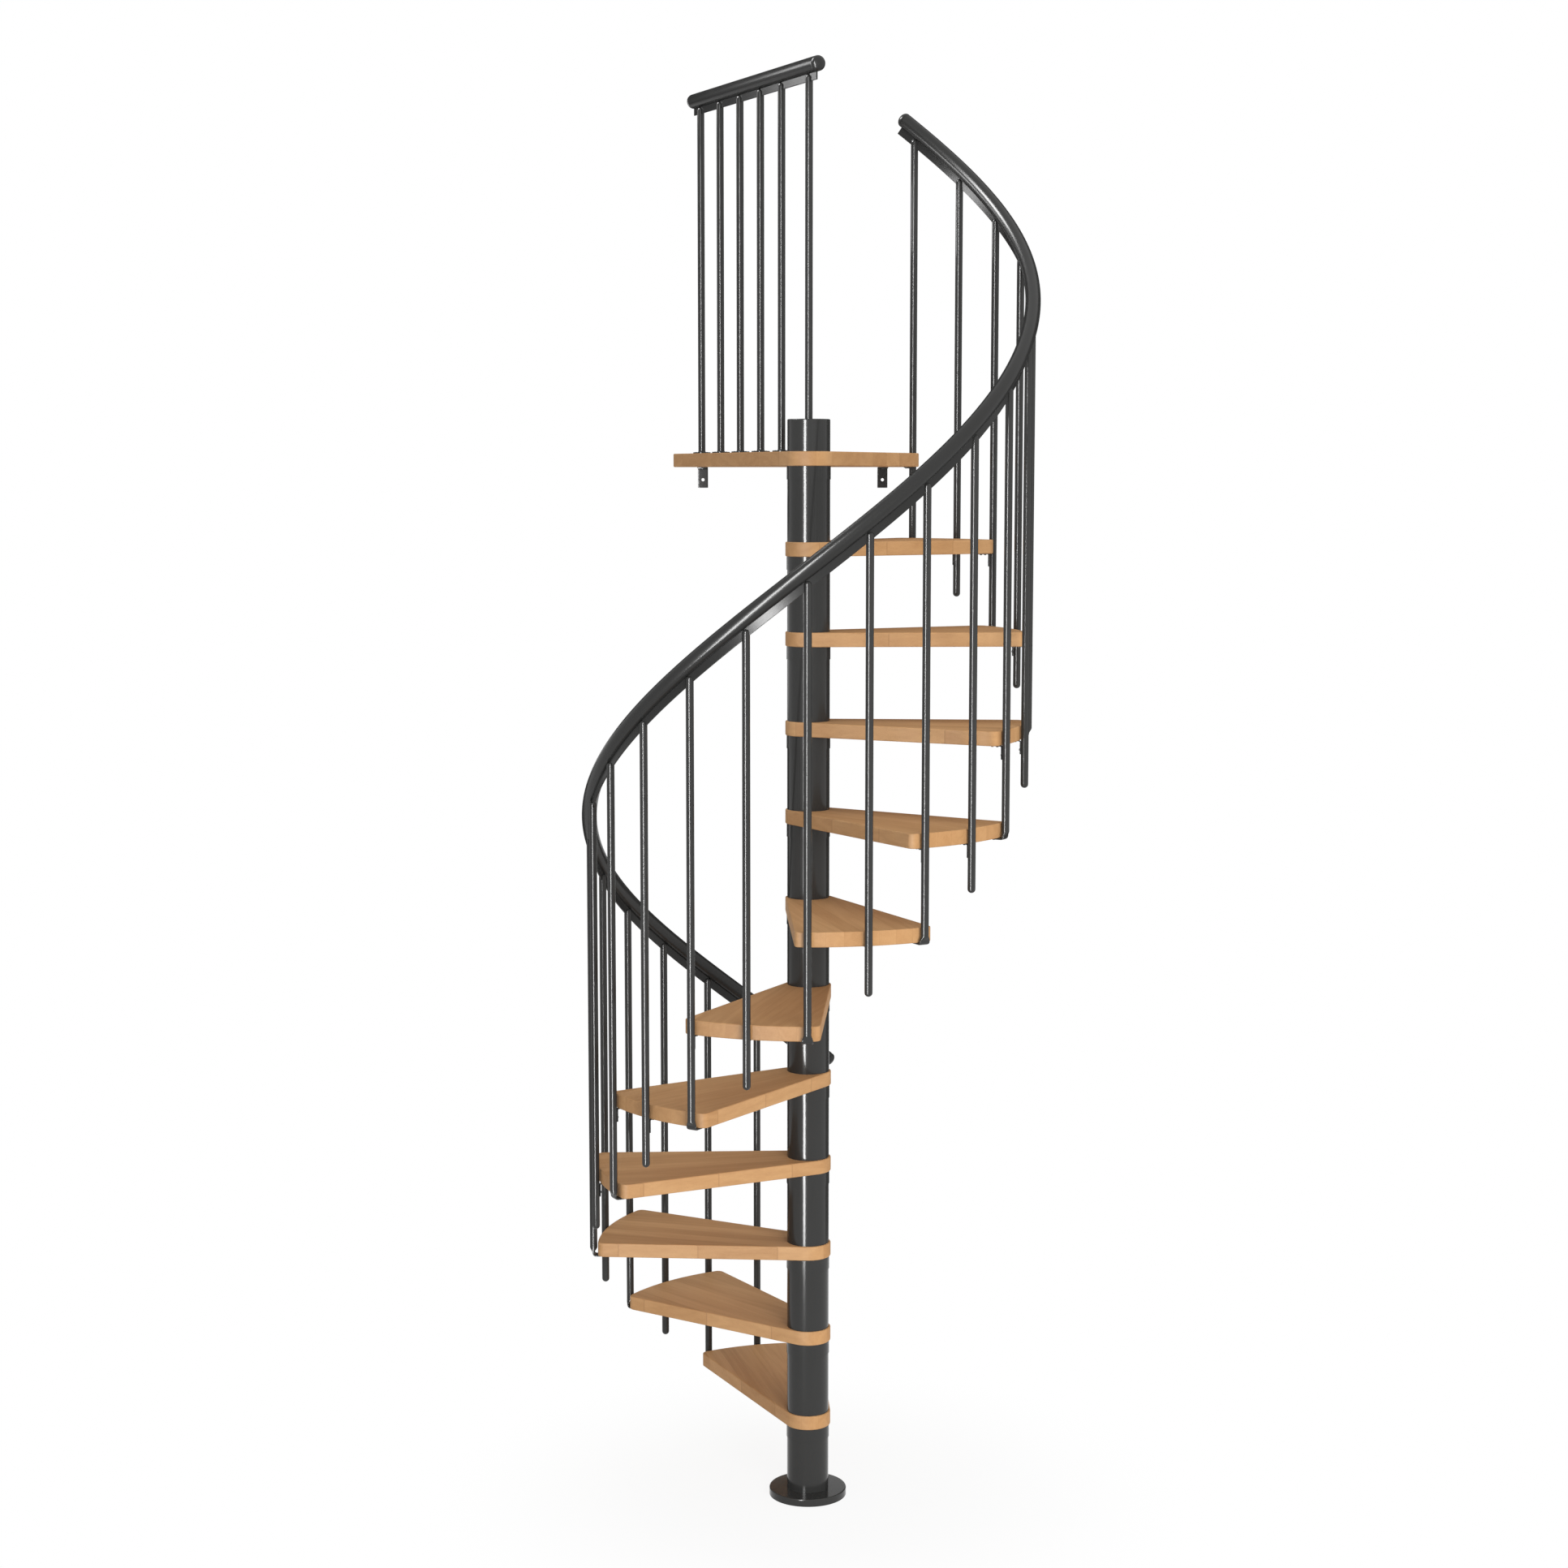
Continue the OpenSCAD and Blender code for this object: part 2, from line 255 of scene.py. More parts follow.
screw_finish = black_zinc()
print("screw finish:", screw_finish.name)

# %% [markdown]
# ## Beech
# The boards are glued up from staves about 45 mm wide. Each stave is its own cut of wood, so its tone
# and its figure change at every glue line, and the fibres run along the tread. The pattern is solid:
# it is worked out from how far a point lies along, across and up in its own board, which each board
# carries as an attribute. So the end grain on the outer arc shows the same staves end on.

# %% Steamed beech with a satin lacquer
STAVE = 45 * MM
FIRST_STAVE = 40.3
STAVE_JUMP, BOARD_JUMP, BOARD_SEED = 31, 3.7, 57.3
PALE_WOOD, DEEP_WOOD = (0.68, 0.400, 0.190, 1), (0.46, 0.238, 0.098, 1)
FLECK_WOOD, GLUE_LINE, END_WOOD = (0.36, 0.17, 0.066, 1), (0.33, 0.16, 0.066, 1), (0.50, 0.25, 0.095, 1)
PORE_DEPTH = 0.25 * MM


def beech():
    """FIRST_STAVE keeps the staves' numbers above nought. Jumps and seed give each its own figure."""
    material, net = start_material("beech")
    grain = net.node("ShaderNodeAttribute", {"attribute_name": "grain"})["Vector"]
    board = net.node("ShaderNodeAttribute", {"attribute_name": "board"})["Fac"]
    split = net.node("ShaderNodeSeparateXYZ", {}, {0: grain})
    along, across, up = split["X"], split["Y"], split["Z"]
    lane = across / STAVE + FIRST_STAVE
    number = lane.math("FLOOR")
    seed = number + board * BOARD_SEED
    luck = net.node("ShaderNodeTexWhiteNoise", {"noise_dimensions": "1D"}, {"W": seed})[0]
    shift = luck * STAVE_JUMP + board * BOARD_JUMP
    fibre = net.noise(net.vector(along * 5 + shift, across * 210, up * 210), 1, 6, 0.62)
    figure = net.noise(net.vector(along * 1.6 + shift, across * 17 + shift, up * 17), 1, 3, 0.4)
    rings = (figure * 34).math("SINE") * 0.5 + 0.5
    fleck = net.ramp(net.noise(net.vector(along * 190 + shift, across * 1300, up * 700), 1, 1), 0.6, 0.74)
    glue = net.ramp(abs(lane - number - 0.5), 0.488, 0.497)
    normal = net.node("ShaderNodeNewGeometry")["Normal"]
    way = net.node("ShaderNodeAttribute", {"attribute_name": "way"})["Vector"]
    facing = net.node("ShaderNodeVectorMath", {"operation": "DOT_PRODUCT"}, {0: normal, 1: way})["Value"]
    end_grain = net.ramp(abs(facing), 0.55, 0.95)
    tone = fibre * 0.5 + rings * 0.2 + luck * 0.45 - 0.1
    colour = net.mix(tone, PALE_WOOD, DEEP_WOOD)
    colour = net.mix(fleck * 0.3, colour, FLECK_WOOD)
    colour = net.mix(glue * 0.35, colour, GLUE_LINE)
    colour = net.mix(end_grain * 0.25, colour, END_WOOD)
    height = fibre * 0.6 - fleck * 0.5 - glue * 0.6
    bump = net.node("ShaderNodeBump", {}, {"Strength": 0.12, "Distance": PORE_DEPTH, "Height": height})
    close_material(net, {
        "Base Color": colour,
        "Roughness": 0.5 + fibre * 0.14 + fleck * 0.06,
        "Specular IOR Level": 0.14,
        "Normal": bump["Normal"],
    })
    return material


wood = beech()
print("wood with", len(wood.node_tree.nodes), "nodes")

# %% [markdown]
# ## Lofting
# A pressed tube, a bent strip and a domed tip are all the same idea: a row of closed rings, skinned
# from one to the next. With the ends shut it is a solid; joined last to first it is a board with a bore.

# %% Rings to a mesh
SHARP = 32


def loft(name, rings, joined=False, sharp=SHARP):
    """Skins closed rings of points. An edge that turns by more than sharp degrees stays crisp."""
    count = len(rings[0])
    rows = len(rings)
    faces = []
    for r in range(rows if joined else rows - 1):
        a, b = r * count, (r + 1) % rows * count
        faces += [(a + i, a + (i + 1) % count, b + (i + 1) % count, b + i) for i in range(count)]
    if not joined:
        faces += [tuple(range(count)), tuple(range((rows - 1) * count, rows * count))]
    mesh = bpy.data.meshes.new(name)
    mesh.from_pydata([p for ring in rings for p in ring], [], faces)
    shell = bmesh.new()
    shell.from_mesh(mesh)
    bmesh.ops.recalc_face_normals(shell, faces=shell.faces)
    shell.to_mesh(mesh)
    shell.free()
    mesh.shade_smooth()
    mesh.set_sharp_from_angle(angle=math.radians(sharp))
    return mesh


def circle(radius, z, sides=40):
    turn = 2 * math.pi / sides
    return [Vector((radius * math.cos(i * turn), radius * math.sin(i * turn), z)) for i in range(sides)]


def turned(name, profile, sides=40):
    """A part turned on a lathe, from (radius, height) pairs."""
    return loft(name, [circle(r, z, sides) for r, z in profile])


def gather(name, meshes):
    """Several small meshes as one, for what is a single piece."""
    shell = bmesh.new()
    for mesh in meshes:
        shell.from_mesh(mesh)
        bpy.data.meshes.remove(mesh)
    whole = bpy.data.meshes.new(name)
    shell.to_mesh(whole)
    shell.free()
    return whole


def link(name, mesh):
    piece = bpy.data.objects.new(name, mesh)
    scene.collection.objects.link(piece)
    return piece


def settle(piece, material, slot, *nodes):
    """Hands a finished piece to the frame: its finish, its body and the nodes that it stands for. The slot is
    not used.
    """
    piece.data.materials.clear()
    piece.data.materials.append(material)
    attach(piece, "root")
    if nodes:
        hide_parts(*nodes)
    triangles = sum(len(p.vertices) - 2 for p in piece.data.polygons)
    print(piece.name, triangles, "triangles")


# %% [markdown]
# ## Treads and landing
# Each board is sawn to a wedge, its outer corners and its nose about the post are rounded, and a router
# takes all edges off at 3 mm. A bevel modifier could do that last step; stacking the outline in rings
# that step inwards gives the same rounding with clean, even faces and a bore for the pole.

# %% Outlines
FINE_TURN, PLAIN_TURN = math.radians(2), math.radians(5)
WIDE_R = 200 * MM


def polar(radius, angle):
    return Vector((radius * math.cos(angle), radius * math.sin(angle)))


def arc(centre, radius, start, end):
    """Points along an arc, closer together on a wide one."""
    turn = FINE_TURN if radius > WIDE_R else PLAIN_TURN
    steps = max(2, math.ceil(abs(end - start) / turn))
    return [centre + polar(radius, start + (end - start) * i / steps) for i in range(steps + 1)]


def straight(a, b, steps=12):
    return [a.lerp(b, i / steps) for i in range(1, steps)]


CENTRE = Vector((0, 0))
HALF = STEP / 2 + OVERLAP / TREAD_R
LEAN = math.acos((EYE_R - CORNER_R) / (TREAD_R - CORNER_R))
CORNER_ANGLE = HALF + math.acos(EYE_R / TREAD_R) - LEAN
NOSE_RUN = 7.3 * MM


def tread_outline():
    """A tread that points along +X, anticlockwise from the far side of its eye."""
    side = CORNER_ANGLE + LEAN
    lead, trail = polar(TREAD_R - CORNER_R, -CORNER_ANGLE), polar(TREAD_R - CORNER_R, CORNER_ANGLE)
    eye = arc(CENTRE, EYE_R, side, 2 * math.pi - side)
    near = arc(lead, CORNER_R, -side, -CORNER_ANGLE)
    rim = arc(CENTRE, TREAD_R, -CORNER_ANGLE, CORNER_ANGLE)
    far = arc(trail, CORNER_R, CORNER_ANGLE, side)
    return eye + straight(eye[-1], near[0]) + near + rim[1:-1] + far + straight(far[-1], eye[0])


def landing_outline():
    """The landing, anticlockwise from the open side of its eye, with a straight right side and back."""
    side = TUBE_RING * math.cos(ARRIVAL - STEP / 2) - TUBE_R - TUBE_GAP
    open_way = GUARD_ANGLE + math.pi / 2
    front = polar(TREAD_R - CORNER_R, ARRIVAL - CORNER_ANGLE)
    y = LANDING_BACK - CORNER_R
    right = Vector((side - CORNER_R, y))
    left = Vector(((EYE_R - CORNER_R - y * math.sin(open_way)) / math.cos(open_way), y))
    front_way = ARRIVAL - CORNER_ANGLE - LEAN
    run = right - front
    belt_way = math.atan2(run.y, run.x) - math.pi / 2
    eye = arc(CENTRE, EYE_R, open_way, 2 * math.pi + front_way)
    nose = arc(front, CORNER_R, front_way, belt_way)
    leave = nose[-1] + run.normalized() * NOSE_RUN
    rim = arc(CENTRE, TREAD_R, math.atan2(leave.y, leave.x), math.acos(side / TREAD_R))
    far = arc(right, CORNER_R, 0, math.pi / 2)
    corner = arc(left, CORNER_R, math.pi / 2, open_way)
    return (eye + straight(eye[-1], nose[0]) + nose + rim + straight(rim[-1], far[0]) + far
            + straight(far[-1], corner[0]) + corner + straight(corner[-1], eye[0]))


print("tread outline of", len(tread_outline()), "points, landing of", len(landing_outline()))

# %% Boards with rounded edges and their grain
EDGE_R, EDGE_STEPS, EDGE_LAND = 3 * MM, 4, 0.8 * MM
BORE_R = 24.3 * MM
BOARD_SHARP, LEVEL, MITRE = 26, 0.999, 0.6
LANDING_GRAIN = math.radians(95)


def inset(outline, depth):
    """The outline moved inwards, each point along the mean of its two sides' normals."""
    moved = []
    for i, p in enumerate(outline):
        a, b = (p - outline[i - 1]).normalized(), (outline[(i + 1) % len(outline)] - p).normalized()
        normal = (Vector((-a.y, a.x)) + Vector((-b.y, b.x))).normalized()
        moved.append(p + normal * depth / max(MITRE, normal.dot(Vector((-a.y, a.x)))))
    return moved


def carry(mesh, label, kind, values):
    """Stores a number or a vector on every point, for the wood to read."""
    field = "value" if kind == "FLOAT" else "vector"
    mesh.attributes.new(label, kind, "POINT").data.foreach_set(field, values)


def board(name, outline, turn, top, grain_angle, number):
    """Rings from the bore out, around the edge and back; a narrow land keeps the edge's shading crisp."""
    arcs = [i * math.pi / 2 / EDGE_STEPS for i in range(EDGE_STEPS + 1)]
    levels = [(EDGE_R * (1 - math.sin(q)), EDGE_R * (1 - math.cos(q))) for q in arcs]
    levels.append((0.0, EDGE_R + EDGE_LAND))
    levels += [(depth, TREAD_T - z) for depth, z in reversed(levels)]
    bore = [p.normalized() * BORE_R for p in outline]
    flat = [(bore, 0)] + [(inset(outline, depth), z) for depth, z in levels] + [(bore, TREAD_T)]
    place = Matrix.Translation((0, 0, top - TREAD_T)) @ Matrix.Rotation(turn, 4, "Z")
    mesh = loft(name, [[place @ Vector((*p, z)) for p in ring] for ring, z in flat], True, BOARD_SHARP)
    for face in mesh.polygons:
        face.use_smooth = abs(face.normal.z) < LEVEL
    way = Vector((math.cos(grain_angle), math.sin(grain_angle), 0))
    cross = Vector((-way.y, way.x, 0))
    points = [v.co.copy() for v in mesh.vertices]
    carry(mesh, "grain", "FLOAT_VECTOR", [c for p in points for c in (p.dot(way), p.dot(cross), p.z - top)])
    carry(mesh, "way", "FLOAT_VECTOR", [c for p in points for c in way])
    carry(mesh, "board", "FLOAT", [number] * len(points))
    return link(name, mesh)


for k in range(1, TREADS + 1):
    tread = board("tread_board_%02d" % k, tread_outline(), tread_angle(k), k * RISE, tread_angle(k), k)
    settle(tread, wood, "beech", "tread_%02d" % k)
platform = board("landing_board", landing_outline(), 0, LANDING_Z, LANDING_GRAIN, TREADS + 1)
settle(platform, wood, "beech", "landing")

# %% [markdown]
# ## What climbs with the stair
# Eleven middle tubes, eleven joining tubes and all their brackets and screws sit at the same place on
# every tread. Copying them by hand would work, but one Geometry Nodes tree says the rule once: make as
# many points as there are treads, turn and lift each by its number, and put the piece on every point.

# %% The climbing pattern
def start_plan(name, inputs):
    tree = bpy.data.node_groups.new(name, "GeometryNodeTree")
    tree.interface.new_socket("Geometry", in_out="INPUT", socket_type="NodeSocketGeometry")
    for label, kind in inputs.items():
        tree.interface.new_socket(label, in_out="INPUT", socket_type="NodeSocket" + kind)
    tree.interface.new_socket("Geometry", in_out="OUTPUT", socket_type="NodeSocketGeometry")
    net = Net(tree)
    return tree, net, net.node("NodeGroupInput")


def close_plan(net, given, geometry):
    real = net.node("GeometryNodeRealizeInstances", {}, {"Geometry": geometry})[0]
    done = net.node("GeometryNodeSetMaterial", {}, {"Geometry": real, "Material": given["Material"]})[0]
    net.node("NodeGroupOutput", {}, {"Geometry": done})


def climbing_plan():
    tree, net, given = start_plan("climbing_pattern", {
        "Count": "Int", "First Angle": "Float", "Step Angle": "Float", "Radius": "Float", "Rise": "Float",
        "Material": "Material"})
    number = net.node("GeometryNodeInputIndex")[0]
    angle = given["First Angle"] + number * given["Step Angle"]
    x, y = angle.math("COSINE") * given["Radius"], angle.math("SINE") * given["Radius"]
    place = net.vector(x, y, (number + 1) * given["Rise"])
    points = net.node("GeometryNodePoints", {}, {"Count": given["Count"], "Position": place})[0]
    copies = net.node("GeometryNodeInstanceOnPoints", {}, {
        "Points": points, "Instance": given["Geometry"], "Rotation": net.vector(0.0, 0.0, angle)})[0]
    close_plan(net, given, copies)
    return tree


def harvest(piece):
    """Turns what the modifiers make into the piece's own plain mesh."""
    graph = bpy.context.evaluated_depsgraph_get()
    made = bpy.data.meshes.new_from_object(
        piece.evaluated_get(graph), preserve_all_data_layers=True, depsgraph=graph)
    piece.modifiers.clear()
    piece.data = made
    made.name = piece.name
    return piece


def grow(name, tree, mesh, values):
    """A piece made by a tree from one mesh. Inputs are set by their identifiers."""
    piece = link(name, mesh)
    modifier = piece.modifiers.new(tree.name, "NODES")
    modifier.node_group = tree
    for item in tree.interface.items_tree:
        if item.in_out == "INPUT" and item.name in values:
            modifier[item.identifier] = values[item.name]
    return harvest(piece)


climbing = climbing_plan()


def climb(name, mesh, material, offset=0.0, count=TREADS):
    return grow(name, climbing, mesh, {
        "Count": count, "First Angle": tread_angle(1) + offset, "Step Angle": STEP, "Radius": TUBE_RING,
        "Rise": RISE, "Material": material})


print("climbing pattern of", len(climbing.nodes), "nodes")

# %% [markdown]
# ## Tubes
# Every tube ends in a dome under the handrail, and a saw cut in the dome straddles the flat band. The
# middle tube of a tread also ends in a dome below it. A boolean cuts the slot, because that is what
# the saw does: it takes away a slab, at the slope of the rail.

# %% Domes and slots
DOME_STEPS = 7
DOME = [i * math.pi / 2 / DOME_STEPS for i in range(DOME_STEPS + 1)]
SLOT_PLAY = 0.3 * MM
SLOT_W = BAND_T + 2 * SLOT_PLAY
SEAT = 0.2 * MM
TIP = 0.4 * MM


def dome_top(z):
    return [(max(TIP, TUBE_R * math.cos(q)), z + TUBE_R * math.sin(q)) for q in DOME]


def dome_bottom(z):
    return [(r, 2 * z - h) for r, h in reversed(dome_top(z))]


def cut_away(mesh, tool_mesh):
    """The mesh without what the tool takes away, as a saw or a drill leaves it."""
    piece, tool = link("blank", mesh), link("tool", tool_mesh)
    cut = piece.modifiers.new("cut", "BOOLEAN")
    cut.operation, cut.solver, cut.object = "DIFFERENCE", "EXACT", tool
    left = harvest(piece).data
    for leftover in (tool, piece):
        bpy.data.objects.remove(leftover)
    left.set_sharp_from_angle(angle=math.radians(SHARP))
    return left


def slotted(mesh, axis_z, slope, along_x=False):
    """Saws the band's slot into a tube whose handrail axis passes axis_z above the origin."""
    reach = 4 * TUBE_R
    low = -RAIL_R - BAND_H - SLOT_PLAY
    size = (reach, SLOT_W, BAND_H + RAIL_R) if along_x else (SLOT_W, reach, BAND_H + RAIL_R)
    slab = bmesh.new()
    bmesh.ops.create_cube(slab, size=1, matrix=(
        Matrix.Translation((0, 0, axis_z)) @ Matrix.Rotation(slope, 4, "X")
        @ Matrix.Translation((0, 0, low + size[2] / 2)) @ Matrix.Diagonal((*size, 1))))
    saw_mesh = bpy.data.meshes.new("saw")
    slab.to_mesh(saw_mesh)
    slab.free()
    return cut_away(mesh, saw_mesh)


def dome_seat(axis_z, slope):
    """Height of the dome's centre, so that the dome touches the handrail's underside."""
    return axis_z - (RAIL_R + SEAT + TUBE_R) / math.cos(slope)


print("slot of %.1f mm for a band of %.1f mm" % (SLOT_W / MM, BAND_T / MM))

# %% Middle tubes
TIP_DROP = 124 * MM
middle_profile = dome_bottom(-TREAD_T - TIP_DROP + TUBE_R) + dome_top(dome_seat(RAIL_H, SLOPE))
middle = slotted(turned("middle_tube", middle_profile), RAIL_H, SLOPE)
middle_tubes = climb("middle_tubes", middle, coat)
BALUSTERS = ["balusters_%02d" % k for k in range(1, TREADS + 1)]
settle(middle_tubes, coat, "anthracite_steel", *BALUSTERS)

# %% [markdown]
# ## Joining tubes
# The tube between two treads is pressed flat at its lower end, bent inwards and screwed to the tread's
# underside. The loft follows that work: round rings, then rings that go from round to flat, then flat
# rings along the bend and along the foot, whose last ones narrow to a round end.

# %% Pressed feet
FOOT_T, FOOT_W, FOOT_LEN, FOOT_BEND, FOOT_TAPER = 5 * MM, 28 * MM, 42 * MM, 5 * MM, 14 * MM
FLAT_SHAPE, ROUND_SHAPE = 5, 2
END_SWEEP = math.radians(78)
END_STEPS, BEND_STEPS, TAPER_STEPS = 6, 8, 10
ALONG, UPRIGHT = Vector((1, 0, 0)), Vector((0, 0, 1))


def pressed(origin, heading, thick, wide, square, sides=40):
    """One ring about a point of the XZ plane. heading is the path's direction there, square its exponent."""
    across = Vector((-heading.z, 0, heading.x))
    ring = []
    for i in range(sides):
        c, s = math.cos(2 * math.pi * i / sides), math.sin(2 * math.pi * i / sides)
        u = math.copysign(abs(c) ** (2 / square), c) * thick
        v = math.copysign(abs(s) ** (2 / square), s) * wide
        ring.append(origin + across * u + Vector((0, v, 0)))
    return ring


def ease(t):
    return t * t * (3 - 2 * t)


def joining_tube():
    under = -TREAD_T
    bend = Vector((-FOOT_T / 2 - FOOT_BEND, 0, under + FOOT_BEND))
    middle_r = FOOT_BEND + FOOT_T / 2
    flat = (FOOT_T / 2, FOOT_W / 2, FLAT_SHAPE)
    rings = []
    end_x = bend.x - FOOT_LEN + FOOT_W / 2
    for q in reversed([i * END_SWEEP / END_STEPS for i in range(END_STEPS + 1)]):
        at = Vector((end_x - FOOT_W / 2 * math.sin(q), 0, under - FOOT_T / 2))
        rings.append(pressed(at, ALONG, flat[0], flat[1] * math.cos(q), flat[2]))
    for i in range(BEND_STEPS + 1):
        q = -math.pi / 2 + i * math.pi / 2 / BEND_STEPS
        at = bend + Vector((middle_r * math.cos(q), 0, middle_r * math.sin(q)))
        rings.append(pressed(at, Vector((-math.sin(q), 0, math.cos(q))), *flat))
    for i in range(1, TAPER_STEPS + 1):
        t = ease(i / TAPER_STEPS)
        shape = [a + (b - a) * t for a, b in zip(flat, (TUBE_R, TUBE_R, ROUND_SHAPE))]
        rings.append(pressed(Vector((0, 0, bend.z + FOOT_TAPER * i / TAPER_STEPS)), UPRIGHT, *shape))
    top = RISE / 2 + RAIL_H
    for r, z in dome_top(dome_seat(top, SLOPE)):
        rings.append(pressed(Vector((0, 0, z)), UPRIGHT, r, r, ROUND_SHAPE))
    return slotted(loft("joining_tube", rings), top, SLOPE)


joining_tubes = climb("joining_tubes", joining_tube(), coat, STEP / 2)
settle(joining_tubes, coat, "anthracite_steel", *BALUSTERS)

# %% [markdown]
# ## Tubes on a round foot
# The first tube stands on the floor, and five stand on the landing. Each is welded to a round plate,
# and the weld shows as a small fillet. Plate, fillet and tube are one turned profile.

# %% Plate, weld and tube
PLATE_R, PLATE_T = 25 * MM, 4 * MM
PLATE_EDGE = [(PLATE_R, 0), (PLATE_R, 3.2 * MM), (24.4 * MM, 3.8 * MM), (23.8 * MM, PLATE_T)]
WELD = [(13 * MM, PLATE_T), (11.4 * MM, 4.6 * MM), (10.5 * MM, 5.8 * MM), (TUBE_R, 8 * MM)]
FOOT_PROFILE = PLATE_EDGE + WELD
first_angle = tread_angle(1) - STEP / 2
first_axis = line_z(first_angle) + RAIL_H
start_profile = FOOT_PROFILE + dome_top(dome_seat(first_axis, SLOPE))
start_mesh = slotted(turned("start_tube", start_profile), first_axis, SLOPE)
start_mesh.transform(Matrix.Rotation(first_angle, 4, "Z") @ Matrix.Translation((TUBE_RING, 0, 0)))
settle(link("start_tube", start_mesh), coat, "anthracite_steel", "balusters_01")

# %% [markdown]
# ## The landing's row
# On the landing the tubes stand in a straight row. A second small tree does that: points along a line,
# turned to the line, with the piece on each. A sixth tube, shorter and without a plate, stands on the
# head of the post.

# %% A row along the landing's open side
GUARD_FIRST, GUARD_PITCH, GUARD_COUNT = 163 * MM, 130 * MM, 5
HEAD_H = 84 * MM


def row_plan():
    tree, net, given = start_plan("row_pattern", {
        "Count": "Int", "Angle": "Float", "First": "Float", "Pitch": "Float", "Height": "Float",
        "Material": "Material"})
    far = given["First"] + net.node("GeometryNodeInputIndex")[0] * given["Pitch"]
    angle = given["Angle"]
    place = net.vector(angle.math("COSINE") * far, angle.math("SINE") * far, given["Height"])
    points = net.node("GeometryNodePoints", {}, {"Count": given["Count"], "Position": place})[0]
    copies = net.node("GeometryNodeInstanceOnPoints", {}, {
        "Points": points, "Instance": given["Geometry"], "Rotation": net.vector(0.0, 0.0, angle)})[0]
    close_plan(net, given, copies)
    return tree


row = row_plan()


def stand(name, mesh, material):
    return grow(name, row, mesh, {
        "Count": GUARD_COUNT, "Angle": GUARD_ANGLE, "First": GUARD_FIRST, "Pitch": GUARD_PITCH,
        "Height": LANDING_Z, "Material": material})


guard_profile = FOOT_PROFILE + dome_top(dome_seat(GUARD_H, 0))
guard_mesh = slotted(turned("guard_tube", guard_profile), GUARD_H, 0, along_x=True)
settle(stand("landing_tubes", guard_mesh, coat), coat, "anthracite_steel", "landing_balusters")
head_axis = GUARD_H - HEAD_H
head_profile = [(TUBE_R, 0), (TUBE_R, 1 * MM)] + dome_top(dome_seat(head_axis, 0))
head_mesh = slotted(turned("head_tube", head_profile), head_axis, 0, along_x=True)
head_mesh.transform(Matrix.Translation((0, 0, LANDING_Z + HEAD_H)) @ Matrix.Rotation(GUARD_ANGLE, 4, "Z"))
settle(link("head_tube", head_mesh), coat, "anthracite_steel", "landing_balusters")

# %% [markdown]
# ## The helical handrail
# The rail is bent to a helix that climbs with the treads. That is a rule, so Geometry Nodes draw it: a
# spiral curve with equal radii, turned to its start, and a section swept along it. The same tree
# makes the flat band below, from a section with rounded corners that hangs under the curve.

# %% Sweeping a section along the helix
RAIL_LEAD, RAIL_TAIL = math.radians(5.3), math.radians(2.7)
RAIL_START = first_angle - RAIL_LEAD
RAIL_END = tread_angle(TREADS) + STEP / 2 + RAIL_TAIL
RAIL_POINTS, RAIL_SIDES = 340, 48


def helix_plan():
    tree, net, given = start_plan("helix_sweep", {
        "Points": "Int", "Turns": "Float", "Radius": "Float", "Climb": "Float", "Start Angle": "Float",
        "Start Height": "Float", "Material": "Material"})
    spiral = net.node("GeometryNodeCurveSpiral", {}, {
        "Resolution": given["Points"], "Rotations": given["Turns"], "Start Radius": given["Radius"],
        "End Radius": given["Radius"], "Height": given["Climb"], "Reverse": True})[0]
    placed = net.node("GeometryNodeTransform", {}, {
        "Geometry": spiral, "Translation": net.vector(0.0, 0.0, given["Start Height"]),
        "Rotation": net.vector(0.0, 0.0, given["Start Angle"])})[0]
    upright = net.node("GeometryNodeSetCurveNormal", {"mode": "Z_UP"}, {"Curve": placed})[0]
    section = net.node("GeometryNodeMeshToCurve", {}, {"Mesh": given["Geometry"]})[0]
    swept = net.node("GeometryNodeCurveToMesh", {}, {
        "Curve": upright, "Profile Curve": section, "Fill Caps": True})[0]
    close_plan(net, given, swept)
    return tree


helix = helix_plan()


def section_ring(name, points):
    mesh = bpy.data.meshes.new(name)
    count = len(points)
    mesh.from_pydata([(x, y, 0) for x, y in points], [(i, (i + 1) % count) for i in range(count)], [])
    return mesh


def sweep(name, points, material):
    return grow(name, helix, section_ring(name, points), {
        "Points": RAIL_POINTS, "Turns": (RAIL_END - RAIL_START) / (2 * math.pi), "Radius": TUBE_RING,
        "Climb": line_z(RAIL_END) - line_z(RAIL_START), "Start Angle": RAIL_START,
        "Start Height": line_z(RAIL_START) + RAIL_H, "Material": material})


rail = sweep("handrail_run", [tuple(p.xy) for p in circle(RAIL_R, 0, RAIL_SIDES)], rail_skin)

# %% The end plugs
SEAM_R = 19.1 * MM
PLUG_FOOT, PLUG_DOME = 6 * MM, 14 * MM
PLUG = [(RAIL_R, -0.5 * MM), (RAIL_R, 2.6 * MM), (SEAM_R, 3.2 * MM), (SEAM_R, 4.0 * MM), (RAIL_R, 4.6 * MM)]
PLUG += [(max(TIP, RAIL_R * math.cos(q)), PLUG_FOOT + PLUG_DOME * math.sin(q)) for q in DOME]


def aimed(mesh, place, way):
    """The mesh moved to a place, with its own Z turned to the given way."""
    mesh.transform(Matrix.Translation(place) @ Vector(way).to_track_quat("Z", "Y").to_matrix().to_4x4())
    return mesh


def plug_mesh(angle, way):
    level = math.cos(SLOPE)
    tangent = Vector((-math.sin(angle) * level, math.cos(angle) * level, math.sin(SLOPE))) * way
    place = (*polar(TUBE_RING, angle), line_z(angle) + RAIL_H)
    return aimed(turned("plug", PLUG, RAIL_SIDES), place, tangent)


